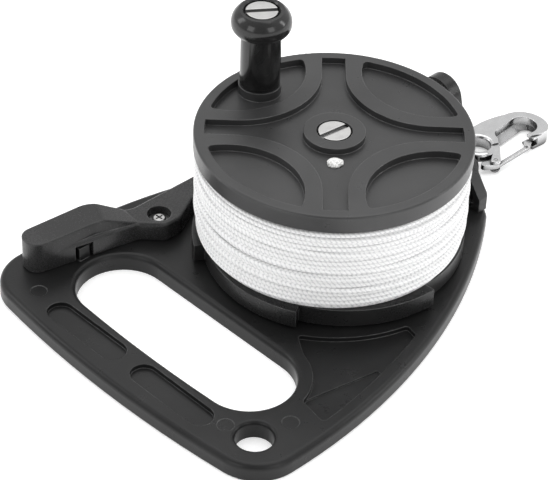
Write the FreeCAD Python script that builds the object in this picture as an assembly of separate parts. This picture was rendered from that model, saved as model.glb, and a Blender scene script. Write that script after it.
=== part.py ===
import FreeCAD, Part
import math
import os
from FreeCAD import Vector

# Dive reel with a flat handle frame, a hand-cranked spool of braided line, a sprung thumb lever
# that stops the spool, a line guide at the nose and a snap hook on the end of the line.
# Millimetres. +Z is up along the spool axis, +X points along the frame towards the nose,
# and the origin lies on the spool axis in the underside of the frame.

# Handle frame, a flat moulded plate
plate_thickness = 7.0
plate_edge_round = 2.2
plate_under_round = 0.8
back_reach = 108.8
back_edge_radius = 461.0
plate_half_width = 71.8
widest_x = -78.3
side_edge_radius = 229.6
back_corner_radius = 17.5
nose_shoulder_x = 57.5
nose_reach = 81.2
nose_tip_radius = 5.2
nose_flank_radius = 130.0
nose_shoulder_round = 5.0

# Hand slot, lanyard hole and moulded pockets
handle_bar_width = 19.6
side_rail_width = 22.5
slot_end_radius = 16.7
slot_back_swell = 0.9
slot_lip_round = 2.0
lanyard_from_back = 18.2
lanyard_from_side = 16.3
lanyard_radius = 6.65
lanyard_lip_round = 1.4
pocket_depth = 1.8
bar_pocket_from_back = 11.4
bar_pocket_half_width = 4.9
bar_pocket_inner_y = 3.2
bar_pocket_outer_y = 41.0
pocket_rim = 5.4
ring_pocket_radius = 53.0
pocket_back_width = 9.2
pocket_back_skew_deg = 4.1
pocket_nose_width = 5.5
pocket_corner_round = 2.6
pocket_step = 0.6
pocket_step_front = 2.9
pocket_step_back = 13.7
pocket_step_x = -36.0
pocket_turn_back_deg = 12.0
ejector_radius = 3.0
ejector_depth = 0.25

# Spool seat and axle post on the plate
seat_radius = 14.0
seat_height = 0.7
post_radius = 5.0
washer_thickness = 0.5
washer_radius = 9.0
running_gap = 0.1
axle_play = 0.05
fit_gap = 0.05

# Spool: toothed lower flange, drum and upper flange
lower_flange_thickness = 7.0
tooth_count = 6
tooth_face_deg = 31.7
tooth_root_radius = 46.9
tooth_height = 4.0
flange_web = 2.5
flange_rim_wall = 2.6
rib_width = 2.0
drum_radius = 22.0
drum_wall = 2.5
hub_radius = 9.0
line_width = 36.0
upper_flange_radius = 50.0
upper_flange_thickness = 6.6
upper_flange_round = 0.9
flange_rim_width = 4.0
star_depth = 2.5
star_arc_centre = 50.0
star_arc_radius = 31.0
lens_depth = 2.9
lens_arc_centre = 52.0
lens_arc_radius = 26.5
lens_corner_round = 1.6
hub_boss_radius = 11.1
knot_hole_radius = 2.8
knot_hole_x = -11.3
knot_hole_y = -11.7

# Spool fixings: bushes, axle bolt, insert and case screws
bush_wall = 1.6
bush_length = 8.0
bush_collar = 1.0
bush_collar_reach = 1.4
bolt_shank_radius = 2.5
bolt_head_radius = 5.85
bolt_head_height = 2.2
bolt_slot_width = 1.3
bolt_slot_depth = 1.1
bolt_slot_turn_deg = 80.0
bolt_washer_thickness = 0.8
insert_wall = 1.1
insert_length = 12.0
case_screw_circle = 14.5
case_screw_radius = 1.4
case_screw_head_radius = 2.7
case_screw_head_height = 2.0
case_screw_bite = 3.0
case_screw_count = 4
case_screw_turn_deg = 0.0

# Crank knob on its shoulder screw
crank_x = 0.5
crank_y = 38.7
crank_boss_radius = 7.9
crank_boss_height = 3.5
crank_stem_radius = 7.4
crank_stem_height = 21.6
crank_head_radius = 11.0
crank_head_height = 9.4
crank_head_belly = 3.6
crank_top_radius = 8.2
crank_neck_radius = 7.9
crank_cup_radius = 6.6
crank_cup_depth = 2.4
crank_bore_radius = 3.1
crank_head_seat = 0.4
crank_screw_head_radius = 5.9
crank_slot_turn_deg = 40.0
crank_screw_thread_radius = 2.0
crank_insert_wall = 1.1

# Line: braided cord, wound on the drum
line_diameter = 1.9
line_loops = 14
line_gap = 0.1
line_edge_gap = 0.35
knot_radius = 2.5
knot_height = 2.4

# Line guide, a wall standing across the nose
guide_spool_gap = 3.7
guide_wall = 5.0
guide_half_width = 25.4
guide_foot_height = 5.8
guide_side_hollow = 2.2
guide_height = 48.0
guide_top_radius = 8.0
guide_rim = 3.0
guide_panel_depth = 1.1
guide_hole_height = 26.4
guide_hole_radius = 2.6
guide_boss_radius = 5.6
guide_screw_y = 14.0
guide_screw_radius = 1.4
guide_screw_head_radius = 2.8
guide_screw_head_height = 2.0
guide_screw_length = 13.0

# Thumb lever with its pawl; places are measured from its pivot
lever_pivot_gap = 11.6
lever_pivot_deg = 131.2
lever_floor_gap = 0.5
lever_height = 7.5
lever_block_rise = 5.4
lever_block_fall = 0.6
lever_edge_round = 1.2
block_edge_round = 0.4
lever_end_reach = 51.2
lever_front_end_y = 10.45
lever_front_boss_x = -9.4
lever_front_boss_y = 0.5
lever_end_depth = 10.0
lever_end_round = 4.8
lever_back_x = -21.5
lever_back_y = 17.4
lever_arm_back_x = -5.0
lever_arm_back_y = 9.2
lever_boss_half = 3.6
lever_boss_depth = 6.8
lever_arm_front_x = 15.5
lever_arm_front_y = -1.4
block_set_back = 2.0
block_front_from_end = 8.9
block_crease_x = -24.6
block_ramp_end_x = -9.0
block_skew = 0.44
block_bend = 7.0
pawl_clearance = 0.5
pawl_reach = 39.0
pawl_nose_width = 4.2
pawl_neck = 8.0
lever_post_radius = 3.4
lever_post_height = 4.2
lever_screw_head_radius = 2.5
lever_screw_head_height = 1.5
lever_screw_radius = 1.5
lever_screw_length = 9.0
lever_washer_thickness = 0.6
lever_cup_radius = 4.5
cross_half_length = 1.6
cross_half_width = 0.3
cross_depth = 0.9
spring_reach = 31.0
spring_wire = 0.7
spring_coil_radius = 2.1
spring_turns = 4
spring_height = 3.3
spring_side_gap = 1.4
spring_lug_width = 4.6
spring_lug_thickness = 2.2
spring_lug_height = 5.5
spring_lug_gap = 3.4
spring_length = 6.0
spring_roof_gap = 1.0

# Snap hook, cast body with a sprung gate, lying in front of the nose; places are measured from its eye
snap_thickness = 6.0
snap_floor_gap = 0.2
snap_edge_round = 1.3
snap_nose_gap = 0.9
eye_y = 5.0
eye_hole_radius = 4.9
eye_radius = 8.0
eye_underside = 2.3
collar_from_deg = -60.0
collar_sweep_deg = 180.0
far_from_eye = 21.2
far_y = 0.4
far_radius = 10.6
far_turn_deg = -25.0
far_low_radius = 6.0
back_swell = 1.9
throat_from_eye = 22.4
throat_y = 1.2
throat_radius = 5.6
throat_end_from_eye = 12.2
throat_end_y = 2.4
throat_end_radius = 3.6
ledge_from_eye = 24.4
ledge_y = 0.9
ledge_radius = 2.7
ledge_end_from_eye = 10.2
ledge_end_y = 0.9
ledge_end_radius = 1.6
ledge_edge_height = 0.7
ledge_wall_height = 2.6
fork_from_eye_x = -2.5
fork_from_eye_y = -11.2
fork_radius = 2.1
fork_left_deg = 150.0
fork_step = 0.6
fork_step_y = -7.7
nose_step_x = 19.5
nose_step_y = -10.6
nose_step_lean_deg = -23.0
gate_length = 21.4
gate_turn_deg = 0.0
gate_width = 1.4
gate_height = 2.2
gate_bar_height = 1.4
gate_bar_offset = 1.0
gate_tip_radius = 1.5
gate_tip_rise = 0.4
gate_boss_radius = 1.8
gate_pin_radius = 0.8
gate_open_deg = 26.0
tab_length = 5.8
tab_width = 2.8
tab_turn_deg = 150.0
gate_gap = 0.35

# Line from the winding through the guide to the snap
line_bend_radius = 5.7
line_winding_gap = 0.35
tie_turn_deg = 140.0
tie_gap = 0.3
leader_knot_radius = 2.3
run_corner_back = 3.1
leader_sag_x = 9.0
leader_sag_y = 0.6
leader_drop_x = 3.0
leader_drop_y = 1.2
leader_drop_z = 6.0

# Heights and radii that follow from the driving sizes
plate_top = plate_thickness
tooth_tip_radius = tooth_root_radius + tooth_height
guide_back_x = tooth_tip_radius + guide_spool_gap
seat_top = plate_top + seat_height
spool_bottom = seat_top + washer_thickness + running_gap
lower_flange_top = spool_bottom + lower_flange_thickness
upper_flange_bottom = lower_flange_top + line_width
upper_flange_top = upper_flange_bottom + upper_flange_thickness
bush_bore = post_radius + axle_play
bush_radius = bush_bore + bush_wall
hub_bore = bush_radius + fit_gap
post_top = upper_flange_top - bolt_head_height - bolt_washer_thickness
hub_cup_floor = post_top - running_gap
hub_cup_radius = bolt_head_radius + 0.6
drum_floor = upper_flange_bottom - drum_wall
line_radius = line_diameter / 2
winding_radius = tooth_root_radius - fit_gap
turn_radius = winding_radius + line_gap + line_radius
guide_front_x = guide_back_x + guide_wall
guide_hole_z = plate_top + guide_hole_height
lever_bottom = plate_top + lever_floor_gap
lever_top = lever_bottom + lever_height
snap_top = snap_floor_gap + snap_thickness
eye_x = (nose_reach - nose_tip_radius
         + math.sqrt((eye_radius + nose_tip_radius + snap_nose_gap) ** 2 - eye_y ** 2))
gate_pivot_x = eye_x + fork_from_eye_x
gate_pivot_y = eye_y + fork_from_eye_y
slot_front_x = -back_reach + handle_bar_width + slot_back_swell + 2 * slot_end_radius
slot_centre_x = slot_front_x - slot_end_radius
lanyard_x = -back_reach + lanyard_from_back
lanyard_y = -plate_half_width + lanyard_from_side
bar_pocket_x = -back_reach + bar_pocket_from_back
lever_pivot_radius = tooth_tip_radius + lever_pivot_gap
lever_pivot_x = lever_pivot_radius * math.cos(math.radians(lever_pivot_deg))
lever_pivot_y = lever_pivot_radius * math.sin(math.radians(lever_pivot_deg))
lever_post_top = plate_top + lever_post_height
spring_x = lever_pivot_x - spring_reach
slot_low_y = side_rail_width + slot_end_radius - plate_half_width


def cylinder(radius, z0, z1, x=0.0, y=0.0):
    """Upright round bar from z0 to z1."""
    return Part.makeCylinder(radius, z1 - z0, Vector(x, y, z0))


def tube(outer, inner, z0, z1, x=0.0, y=0.0):
    """Upright tube from z0 to z1."""
    return cylinder(outer, z0, z1, x, y).cut(cylinder(inner, z0 - 1, z1 + 1, x, y))


def box(x0, x1, y0, y1, z0, z1):
    """Block between two corners."""
    return Part.makeBox(x1 - x0, y1 - y0, z1 - z0, Vector(x0, y0, z0))


def prism(wire, z0, z1):
    """Straight solid standing on a flat closed wire drawn at z = 0."""
    face = Part.Face(wire)
    face.translate(Vector(0, 0, z0))
    return face.extrude(Vector(0, 0, z1 - z0))


def arc(a, m, b):
    """Arc edge through three points."""
    return Part.Arc(Vector(*a), Vector(*m), Vector(*b)).toShape()


def line(a, b):
    """Straight edge."""
    return Part.LineSegment(Vector(*a), Vector(*b)).toShape()


def outline(start, *steps):
    """Flat closed wire: a step (x, y) is a straight run, a step (mid, end) is an arc."""
    edges = []
    here = start
    for step in steps:
        if isinstance(step[0], tuple):
            edges.append(arc((*here, 0), (*step[0], 0), (*step[1], 0)))
            here = step[1]
        else:
            edges.append(line((*here, 0), (*step, 0)))
            here = step
    if math.dist(here, start) > 1e-6:
        edges.append(line((*here, 0), (*start, 0)))
    return Part.Wire(edges)


def rounded(corners):
    """Flat closed wire through corners (x, y, radius), each turned by its own arc."""
    edges = []
    ends = []
    for i, (x, y, radius) in enumerate(corners):
        here = Vector(x, y, 0)
        to_last = (Vector(*corners[i - 1][:2], 0) - here).normalize()
        to_next = (Vector(*corners[(i + 1) % len(corners)][:2], 0) - here).normalize()
        half = math.acos(to_last.dot(to_next)) / 2
        centre = here + (to_last + to_next).normalize() * (radius / math.sin(half))
        first = here + to_last * (radius / math.tan(half))
        last = here + to_next * (radius / math.tan(half))
        middle = centre + (here - centre).normalize() * radius
        ends.append((first, middle, last))
    for i, (first, middle, last) in enumerate(ends):
        edges.append(Part.Arc(first, middle, last).toShape())
        follow = ends[(i + 1) % len(ends)][0]
        if (follow - last).Length > 1e-6:
            edges.append(Part.LineSegment(last, follow).toShape())
    return Part.Wire(edges)


def polar(radius, degrees, x=0.0, y=0.0):
    """Point at an angle round (x, y)."""
    turn = math.radians(degrees)
    return (x + radius * math.cos(turn), y + radius * math.sin(turn))


def circles_meet(c1, r1, c2, r2, sign):
    """Point where two circles cross, on the side that sign picks."""
    dx = c2[0] - c1[0]
    dy = c2[1] - c1[1]
    apart = math.hypot(dx, dy)
    along = (r1 * r1 - r2 * r2 + apart * apart) / (2 * apart)
    off = sign * math.sqrt(r1 * r1 - along * along)
    return (c1[0] + (dx * along - dy * off) / apart, c1[1] + (dy * along + dx * off) / apart)


def towards(centre, point, radius):
    """Point at a radius from centre, in the direction of another point."""
    apart = math.dist(centre, point)
    return (centre[0] + (point[0] - centre[0]) * radius / apart,
            centre[1] + (point[1] - centre[1]) * radius / apart)


def middle_of(centre, a, b, radius):
    """Middle of the shorter arc between two points of a circle."""
    return towards(centre, ((a[0] + b[0]) / 2, (a[1] + b[1]) / 2), radius)


def edges_at(shape, z):
    """Edges that lie flat at one height."""
    return [e for e in shape.Edges if abs(e.BoundBox.ZMin - z) < 1e-4 and abs(e.BoundBox.ZMax - z) < 1e-4]


def save(name, shape):
    """Write one named sub-part."""
    shape.exportStep("parts/" + name + ".step")


# The plate's edge: back arc, corner arcs, long side arcs, hollow flanks and a round nose tip
side_centre_y = plate_half_width - side_edge_radius
back_centre = (back_edge_radius - back_reach, 0.0)
tip_centre = (nose_reach - nose_tip_radius, 0.0)


def side_y(x, inset=0.0):
    """Half-width of the plate on its long side arc."""
    reach = side_edge_radius - inset
    return side_centre_y + math.sqrt(reach * reach - (x - widest_x) ** 2)


def plate_outline():
    side_centre = (widest_x, side_centre_y)
    corner = circles_meet(side_centre, side_edge_radius - back_corner_radius,
                          back_centre, back_edge_radius - back_corner_radius, 1)
    if corner[0] > 0:
        corner = circles_meet(side_centre, side_edge_radius - back_corner_radius,
                              back_centre, back_edge_radius - back_corner_radius, -1)
    on_back = towards(back_centre, corner, back_edge_radius)
    on_side = towards(side_centre, corner, side_edge_radius)
    corner_middle = middle_of(corner, on_back, on_side, back_corner_radius)
    shoulder = (nose_shoulder_x, side_y(nose_shoulder_x))
    flank_centre = circles_meet(tip_centre, nose_flank_radius + nose_tip_radius,
                                shoulder, nose_flank_radius, -1)
    ease = circles_meet(side_centre, side_edge_radius - nose_shoulder_round,
                        flank_centre, nose_flank_radius + nose_shoulder_round, 1)
    if math.dist(ease, shoulder) > 2 * nose_shoulder_round:
        ease = circles_meet(side_centre, side_edge_radius - nose_shoulder_round,
                            flank_centre, nose_flank_radius + nose_shoulder_round, -1)
    side_end = towards(side_centre, ease, side_edge_radius)
    side_middle = middle_of(side_centre, on_side, side_end, side_edge_radius)
    flank_start = towards(flank_centre, ease, nose_flank_radius)
    ease_middle = middle_of(ease, side_end, flank_start, nose_shoulder_round)
    on_tip = towards(tip_centre, flank_centre, nose_tip_radius)
    flank_middle = middle_of(flank_centre, flank_start, on_tip, nose_flank_radius)

    def flip(p):
        return (p[0], -p[1])

    return outline(on_back,
                   (corner_middle, on_side),
                   (side_middle, side_end),
                   (ease_middle, flank_start),
                   (flank_middle, on_tip),
                   ((nose_reach, 0.0), flip(on_tip)),
                   (flip(flank_middle), flip(flank_start)),
                   (flip(ease_middle), flip(side_end)),
                   (flip(side_middle), flip(on_side)),
                   (flip(corner_middle), flip(on_back)),
                   ((-back_reach, 0.0), on_back))


def slot_high_y():
    """Centre of the slot's end beside the lever, whose rim lies clear of the spring's lug."""
    return spring_lug_back_y() - spring_lug_thickness - spring_lug_gap - slot_end_radius


def slot_outline():
    radius = slot_end_radius
    back = slot_centre_x - radius
    low = slot_low_y
    high = slot_high_y()
    return outline((slot_front_x, low), (slot_front_x, high),
                   ((slot_centre_x, high + radius), (back, high)),
                   ((back - slot_back_swell, (low + high) / 2), (back, low)),
                   ((slot_centre_x, low - radius), (slot_front_x, low)))


def bar_pocket(sign):
    """Long round-ended pocket in the handle bar."""
    inner = sign * (bar_pocket_inner_y + bar_pocket_half_width)
    outer = sign * (bar_pocket_outer_y - bar_pocket_half_width)
    left = bar_pocket_x - bar_pocket_half_width
    right = bar_pocket_x + bar_pocket_half_width
    wire = outline((right, inner), (right, outer),
                   ((bar_pocket_x, outer + sign * bar_pocket_half_width), (left, outer)),
                   (left, inner),
                   ((bar_pocket_x, inner - sign * bar_pocket_half_width), (right, inner)))
    return prism(wire, plate_top - pocket_depth, plate_top + 1)


def corner_pocket():
    """Three-sided pocket between the spool, the slot's end and the long side, with a lower corner."""
    side_centre = (widest_x, -side_centre_y)
    side_reach = side_edge_radius - pocket_rim
    slot_centre = (slot_centre_x, slot_low_y)
    slot_reach = slot_end_radius + pocket_rim
    c = circles_meet((0.0, 0.0), ring_pocket_radius + pocket_nose_width, side_centre, side_reach, 1)
    b = towards((0.0, 0.0), c, ring_pocket_radius)
    gap = math.dist((0.0, 0.0), slot_centre) - ring_pocket_radius - slot_reach
    back_width = math.hypot(gap, pocket_back_width)
    f = circles_meet((0.0, 0.0), ring_pocket_radius + back_width, slot_centre, slot_reach, 1)
    a = polar(ring_pocket_radius, math.degrees(math.atan2(f[1], f[0])) - pocket_back_skew_deg)
    ab = middle_of((0.0, 0.0), a, b, ring_pocket_radius)
    d_x = slot_centre[0] + pocket_corner_round
    d = (d_x, -side_y(d_x, pocket_rim))
    cd = middle_of(side_centre, c, d, side_reach)
    e = polar(slot_reach, pocket_turn_back_deg - 90, *slot_centre)
    ef = middle_of(slot_centre, e, f, slot_reach)
    floor = plate_top - pocket_depth
    pocket = prism(outline(a, (ab, b), c, (cd, d), e, (ef, f)), floor, plate_top + 1)
    uprights = [k for k in pocket.Edges if k.BoundBox.ZLength > pocket_depth]
    pocket = pocket.makeFillet(pocket_corner_round / 2, uprights)
    step_back = (d[0], d[1] + pocket_step_back)
    step_front = (pocket_step_x, -side_y(pocket_step_x, pocket_rim) + pocket_step_front)
    step = prism(outline(step_back, step_front, (pocket_step_x, -2 * plate_half_width),
                         (slot_centre_x, -2 * plate_half_width), (slot_centre_x, step_back[1])),
                 floor - pocket_step, plate_top)
    low = pocket.copy()
    low.translate(Vector(0, 0, -pocket_step))
    return pocket.fuse(low.common(step))


def ejector_places():
    """Round marks that the mould's ejector pins leave on the handle."""
    return [(bar_pocket_x + 1.4, slot_high_y() + slot_end_radius + 0.6),
            (bar_pocket_x + 3.4, slot_low_y - slot_end_radius + 4.2),
            (lanyard_x + 2 * lanyard_radius + 0.2, lanyard_y - lanyard_radius / 2)]


def guide_screw_places():
    return [(guide_back_x + guide_wall / 2, sign * guide_screw_y) for sign in (-1, 1)]


def frame_plate():
    plate = prism(plate_outline(), 0, plate_top)
    plate = plate.makeFillet(plate_edge_round, edges_at(plate, plate_top))
    plate = plate.makeFillet(plate_under_round, edges_at(plate, 0))
    plate = plate.cut(prism(slot_outline(), -1, plate_top + 1))
    left = -back_reach + plate_edge_round + 1
    low = slot_low_y - slot_end_radius - 1
    high = slot_high_y() + slot_end_radius + 1
    slot_edges = [e for e in edges_at(plate, plate_top)
                  if left < e.BoundBox.XMin and e.BoundBox.XMax < slot_front_x + 1
                  and low < e.CenterOfMass.y < high]
    plate = plate.makeFillet(slot_lip_round, slot_edges)
    plate = plate.cut(cylinder(lanyard_radius, -1, plate_top + 1, lanyard_x, lanyard_y))
    hole_edges = [e for e in edges_at(plate, plate_top)
                  if math.dist((e.CenterOfMass.x, e.CenterOfMass.y), (lanyard_x, lanyard_y)) < lanyard_radius]
    plate = plate.makeFillet(lanyard_lip_round, hole_edges)
    plate = plate.cut(bar_pocket(1)).cut(bar_pocket(-1)).cut(corner_pocket())
    for x, y in ejector_places():
        plate = plate.cut(cylinder(ejector_radius, plate_top - ejector_depth, plate_top + 1, x, y))
    plate = plate.fuse(cylinder(seat_radius, plate_top - 1, seat_top))
    plate = plate.fuse(cylinder(post_radius, plate_top - 1, post_top))
    insert_hole = bolt_shank_radius + fit_gap + insert_wall + fit_gap
    plate = plate.cut(cylinder(insert_hole, post_top - insert_length - 1, post_top + 1))
    # Post and screw hole for the lever, and the lug that the lever's spring pushes on
    plate = plate.fuse(cylinder(lever_post_radius, plate_top - 1, lever_post_top,
                                lever_pivot_x, lever_pivot_y))
    plate = plate.cut(cylinder(lever_screw_radius + fit_gap, lever_post_top - lever_screw_length - fit_gap,
                               lever_post_top + 1, lever_pivot_x, lever_pivot_y))
    lug_y = spring_lug_back_y()
    lug = box(spring_x - spring_lug_width / 2, spring_x + spring_lug_width / 2,
              lug_y - spring_lug_thickness, lug_y, plate_top - 1, plate_top + spring_lug_height)
    plate = plate.fuse(lug)
    for x, y in guide_screw_places():
        plate = plate.cut(cylinder(guide_screw_radius + fit_gap, -1, plate_top + 1, x, y))
        plate = plate.cut(cylinder(guide_screw_head_radius + fit_gap, -1,
                                   guide_screw_head_height + fit_gap, x, y))
    return plate.removeSplitter()


def lever_front_y(x):
    """Front line of the lever's arm, from its end to the boss."""
    end_x = lever_pivot_x - lever_end_reach
    boss_x = lever_pivot_x + lever_front_boss_x
    share = (x - end_x) / (boss_x - end_x)
    return lever_pivot_y + lever_front_end_y + share * (lever_front_boss_y - lever_front_end_y)


def spring_lug_back_y():
    """The lug's front is flush with the front of the lever's arm."""
    return lever_front_y(spring_x) + spring_lug_thickness


def guide_shape(x0, x1, inset=0.0):
    """Wall across the nose: upright foot, hollow sloping sides and a round top, drawn in the YZ plane."""
    foot_z = plate_top + guide_foot_height
    top_centre_z = plate_top + guide_height - guide_top_radius
    half = guide_half_width - inset
    radius = guide_top_radius - inset
    base_z = plate_top + inset
    shoulder = (half, foot_z)
    touch = (radius * math.cos(math.radians(10)), top_centre_z + radius * math.sin(math.radians(10)))
    lean = math.atan2(touch[1] - foot_z, half - touch[0])
    waist = ((shoulder[0] + touch[0]) / 2 - guide_side_hollow * math.sin(lean),
             (shoulder[1] + touch[1]) / 2 - guide_side_hollow * math.cos(lean))

    def at(p, side=1):
        return (x0, side * p[0], p[1])

    edges = [line(at((half, base_z), -1), at((half, base_z))),
             line(at((half, base_z)), at(shoulder)),
             arc(at(shoulder), at(waist), at(touch)),
             arc(at(touch), at((0, top_centre_z + radius)), at(touch, -1)),
             arc(at(touch, -1), at(waist, -1), at(shoulder, -1)),
             line(at(shoulder, -1), at((half, base_z), -1))]
    return Part.Face(Part.Wire(edges)).extrude(Vector(x1 - x0, 0, 0))


def line_guide():
    wall = guide_shape(guide_back_x, guide_front_x)
    wall = wall.common(prism(plate_outline(), plate_top, plate_top + guide_height + 1))
    for x0, x1 in ((guide_back_x - 1, guide_back_x + guide_panel_depth),
                   (guide_front_x - guide_panel_depth, guide_front_x + 1)):
        panel = guide_shape(x0, x1, guide_rim)
        boss = Part.makeCylinder(guide_boss_radius, x1 - x0, Vector(x0, 0, guide_hole_z), Vector(1, 0, 0))
        panel = panel.cut(boss)
        for x, y in guide_screw_places():
            panel = panel.cut(box(x0 - 1, x1 + 1, y - 4, y + 4,
                                  plate_top, plate_top + guide_screw_length - 2))
        wall = wall.cut(panel)
    hole = Part.makeCylinder(guide_hole_radius, guide_wall + 2, Vector(guide_back_x - 1, 0, guide_hole_z),
                             Vector(1, 0, 0))
    wall = wall.cut(hole)
    for x, y in guide_screw_places():
        wall = wall.cut(cylinder(guide_screw_radius + fit_gap, plate_top - 1,
                                 guide_screw_head_height + guide_screw_length + 0.5, x, y))
    return wall


def guide_screws():
    screws = []
    for x, y in guide_screw_places():
        head = cylinder(guide_screw_head_radius, 0.2, guide_screw_head_height, x, y)
        shank = cylinder(guide_screw_radius, guide_screw_head_height - 0.5,
                         guide_screw_head_height + guide_screw_length, x, y)
        slot = box(x - 3, x + 3, y - 0.4, y + 0.4, -1, 1.0)
        cross = box(x - 0.4, x + 0.4, y - 3, y + 3, -1, 1.0)
        socket = slot.fuse(cross).common(cylinder(1.6, -1, 1.0, x, y))
        screws.append(head.fuse(shank).cut(socket))
    return Part.makeCompound(screws)


def ratchet_outline(inset=0.0):
    """Saw teeth: the radius grows round each tooth and drops at a flat radial face."""
    pitch = 360.0 / tooth_count
    steps = []
    start = polar(tooth_tip_radius - inset, tooth_face_deg)
    for i in range(tooth_count):
        face_at = tooth_face_deg + i * pitch
        low = polar(tooth_root_radius - inset, face_at)
        half = polar((tooth_root_radius + tooth_tip_radius) / 2 - inset, face_at + pitch / 2)
        high = polar(tooth_tip_radius - inset, face_at + pitch)
        steps.append(low)
        steps.append((half, high))
    return outline(start, *steps)


def case_screw_places():
    return [polar(case_screw_circle, case_screw_turn_deg + i * 360.0 / case_screw_count)
            for i in range(case_screw_count)]


def spool_drum():
    """Toothed lower flange, hollow drum and hub in one moulding, open from below."""
    flange = prism(ratchet_outline(), spool_bottom, lower_flange_top)
    trough = tube(tooth_root_radius - flange_rim_wall, drum_radius, spool_bottom - 1,
                  lower_flange_top - flange_web)
    for i in range(tooth_count * 2):
        rib = box(drum_radius - 1, tooth_root_radius, -rib_width / 2, rib_width / 2,
                  spool_bottom - 2, lower_flange_top)
        rib.rotate(Vector(0, 0, 0), Vector(0, 0, 1), tooth_face_deg + i * 180.0 / tooth_count)
        trough = trough.cut(rib)
    drum = flange.cut(trough).fuse(cylinder(drum_radius, spool_bottom, upper_flange_bottom))
    inside = tube(drum_radius - drum_wall, hub_radius, spool_bottom - 1, drum_floor)
    drum = drum.cut(inside)
    drum = drum.cut(cylinder(hub_bore, spool_bottom - 1, upper_flange_top))
    drum = drum.cut(cylinder(bush_radius + bush_collar_reach + fit_gap, spool_bottom - 1,
                             spool_bottom + bush_collar + fit_gap))
    for x, y in case_screw_places():
        drum = drum.cut(cylinder(case_screw_radius + fit_gap, drum_floor - 1, upper_flange_bottom + 1, x, y))
    return drum


def star_recess():
    """Four-armed recess with hollow sides between the arms."""
    centre = star_arc_centre
    reach = upper_flange_radius - flange_rim_width
    half = centre * math.sin(math.radians(45)) - star_arc_radius
    end = math.sqrt(reach * reach - half * half)
    waist = centre * math.cos(math.radians(45))

    def place(along, across, k):
        turn = math.radians(45 + 90 * k)
        return (along * math.cos(turn) - across * math.sin(turn),
                along * math.sin(turn) + across * math.cos(turn))

    steps = []
    for k in range(4):
        steps.append((place(reach, 0, k), place(end, half, k)))
        steps.append(place(waist, half, k))
        steps.append((polar(centre - star_arc_radius, 90 * (k + 1)), place(waist, -half, k + 1)))
        steps.append(place(end, -half, k + 1))
    wire = outline(place(end, -half, 0), *steps)
    return prism(wire, upper_flange_top - star_depth, upper_flange_top + 1)


def lens_pocket(k):
    """Lens-shaped pocket between the rim and one hollow side of the star."""
    reach = upper_flange_radius - flange_rim_width
    centre = polar(lens_arc_centre, 90 * k)
    a = circles_meet((0.0, 0.0), reach, centre, lens_arc_radius, 1)
    b = circles_meet((0.0, 0.0), reach, centre, lens_arc_radius, -1)
    wire = outline(a, (polar(lens_arc_centre - lens_arc_radius, 90 * k), b),
                   (polar(reach, 90 * k), a))
    pocket = prism(wire, upper_flange_top - lens_depth, upper_flange_top + 1)
    uprights = [e for e in pocket.Edges if e.BoundBox.ZLength > lens_depth]
    return pocket.makeFillet(lens_corner_round, uprights)


def spool_flange():
    """Upper flange with its star, four pockets, hub boss and crank boss."""
    flange = cylinder(upper_flange_radius, upper_flange_bottom, upper_flange_top)
    flange = flange.makeFillet(upper_flange_round, edges_at(flange, upper_flange_top))
    hub_boss = cylinder(hub_boss_radius, upper_flange_top - star_depth - 1, upper_flange_top)
    flange = flange.cut(star_recess().cut(hub_boss))
    for k in range(4):
        flange = flange.cut(lens_pocket(k))
    floor = upper_flange_top - lens_depth
    flange = flange.fuse(cylinder(crank_boss_radius, floor - 1, floor + crank_boss_height, crank_x, crank_y))
    insert = crank_screw_thread_radius + fit_gap + crank_insert_wall + fit_gap
    flange = flange.cut(cylinder(insert, upper_flange_bottom - 1, floor + crank_boss_height + 1,
                                 crank_x, crank_y))
    flange = flange.cut(cylinder(hub_bore, upper_flange_bottom - 1, hub_cup_floor + 1))
    flange = flange.cut(cylinder(hub_cup_radius, hub_cup_floor, upper_flange_top + 1))
    flange = flange.cut(cylinder(knot_hole_radius, upper_flange_bottom - 1, upper_flange_top + 1,
                                 knot_hole_x, knot_hole_y))
    for x, y in case_screw_places():
        flange = flange.cut(cylinder(case_screw_radius + fit_gap, upper_flange_bottom - 1,
                                     upper_flange_bottom + case_screw_bite + 0.2, x, y))
    return flange


def case_screws():
    screws = []
    for x, y in case_screw_places():
        head = cylinder(case_screw_head_radius, drum_floor - fit_gap - case_screw_head_height,
                        drum_floor - fit_gap, x, y)
        shank = cylinder(case_screw_radius, drum_floor - fit_gap - 0.5,
                         upper_flange_bottom + case_screw_bite, x, y)
        screws.append(head.fuse(shank))
    return Part.makeCompound(screws)


def lower_bush():
    bush = cylinder(bush_radius, spool_bottom, spool_bottom + bush_length)
    bush = bush.fuse(cylinder(bush_radius + bush_collar_reach, spool_bottom, spool_bottom + bush_collar))
    return bush.cut(cylinder(bush_bore, spool_bottom - 1, spool_bottom + bush_length + 1))


def upper_bush():
    return tube(bush_radius, bush_bore, hub_cup_floor - bush_length, hub_cup_floor)


def thrust_washer():
    return tube(washer_radius, post_radius + fit_gap, seat_top, seat_top + washer_thickness)


def axle_insert():
    """Brass thread insert in the top of the post."""
    inner = bolt_shank_radius + fit_gap
    return tube(inner + insert_wall, inner, post_top - insert_length, post_top)


def axle_washer():
    return tube(bolt_head_radius, bolt_shank_radius + fit_gap, post_top, post_top + bolt_washer_thickness)


def slotted_head(radius, z0, z1, x, y, turn_deg):
    """Flat round screw head with a straight driver slot."""
    head = cylinder(radius, z0, z1, x, y)
    head = head.makeChamfer(0.3, edges_at(head, z1))
    slot = box(x - radius - 1, x + radius + 1, y - bolt_slot_width / 2, y + bolt_slot_width / 2,
               z1 - bolt_slot_depth, z1 + 1)
    slot.rotate(Vector(x, y, 0), Vector(0, 0, 1), turn_deg)
    return head.cut(slot)


def axle_bolt():
    under_head = post_top + bolt_washer_thickness
    head = slotted_head(bolt_head_radius, under_head, under_head + bolt_head_height, 0, 0, bolt_slot_turn_deg)
    return head.fuse(cylinder(bolt_shank_radius, post_top - insert_length + 1, under_head + 0.5))


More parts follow.
